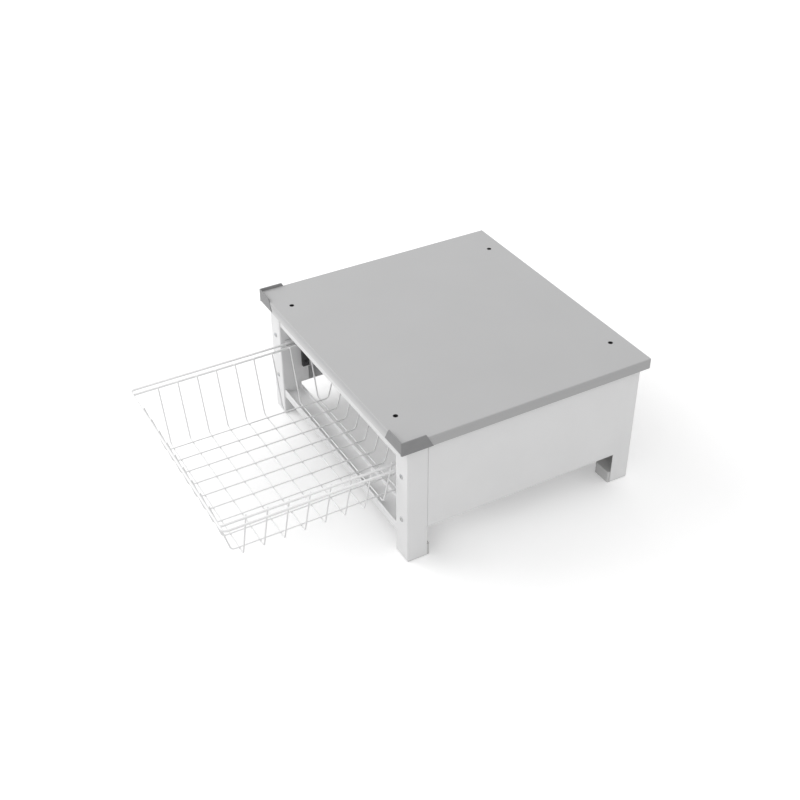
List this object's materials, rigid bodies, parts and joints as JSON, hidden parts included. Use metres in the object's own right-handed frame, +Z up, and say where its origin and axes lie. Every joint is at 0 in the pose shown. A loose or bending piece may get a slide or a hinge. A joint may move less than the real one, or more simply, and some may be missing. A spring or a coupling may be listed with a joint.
{
  "type": "washing machine pedestal",
  "caption": "Folded sheet steel pedestal that lifts a washing machine off the floor, with corner stops on its top plate and a wire basket that slides out at the front.",
  "frame": {"origin": "on the floor, under the middle of the whole object with its basket pulled out as in the picture", "axes": "+X to the right seen from the front, +Y to the back, away from the basket, +Z up"},
  "size_m": [0.602, 0.8666, 0.2944],
  "materials": {
    "white_coat": "satin powder coat, fine orange peel",
    "grey_coat": "matte powder coat",
    "wire_coat": "satin powder coat on wire",
    "stop_plastic": "matte moulded plastic",
    "foot_plastic": "matte moulded plastic",
    "black_plastic": "matte moulded plastic",
    "black_steel": "black oxide",
    "zinc_steel": "zinc plated"
  },
  "bodies": {
    "stand": {"top_plate": "grey_coat", "plate_hole_bushings": "black_plastic", "left_plate_stiffener": "white_coat", "right_plate_stiffener": "white_coat", "front_top_rail": "white_coat", "rear_top_rail": "white_coat", "front_bottom_rail": "white_coat", "rear_bottom_rail": "white_coat", "front_left_leg": "white_coat", "front_right_leg": "white_coat", "rear_left_leg": "white_coat", "rear_right_leg": "white_coat", "left_side_panel": "white_coat", "right_side_panel": "white_coat", "left_runner": "white_coat", "right_runner": "white_coat", "left_corner_stop": "stop_plastic", "right_corner_stop": "stop_plastic", "left_guide_bracket": "black_plastic", "right_guide_bracket": "black_plastic", "front_left_foot_cap": "foot_plastic", "front_right_foot_cap": "foot_plastic", "rear_left_foot_cap": "foot_plastic", "rear_right_foot_cap": "foot_plastic", "leg_bolts": "zinc_steel", "leg_bolt_nuts": "zinc_steel", "frame_screws": "zinc_steel", "frame_screw_nuts": "zinc_steel", "plate_studs": "zinc_steel", "plate_stud_nuts": "zinc_steel", "guide_bracket_screws": "black_steel"},
    "basket": {"basket_rim_frame": "wire_coat", "basket_left_rail_wire": "wire_coat", "basket_right_rail_wire": "wire_coat", "basket_cross_wire_1": "wire_coat", "basket_cross_wire_2": "wire_coat", "basket_cross_wire_3": "wire_coat", "basket_cross_wire_4": "wire_coat", "basket_cross_wire_5": "wire_coat", "basket_cross_wire_6": "wire_coat", "basket_cross_wire_7": "wire_coat", "basket_cross_wire_8": "wire_coat", "basket_cross_wire_9": "wire_coat", "basket_long_wire_1": "wire_coat", "basket_long_wire_2": "wire_coat", "basket_long_wire_3": "wire_coat", "basket_long_wire_4": "wire_coat", "basket_long_wire_5": "wire_coat", "basket_long_wire_6": "wire_coat", "basket_long_wire_7": "wire_coat", "basket_long_wire_8": "wire_coat", "basket_long_wire_9": "wire_coat"}
  },
  "joints": [
    {"name": "basket_slide", "type": "slide", "parent": "stand", "child": "basket", "axis": [0, -1, 0], "range_m": [-0.3279, 0.036]}
  ]
}
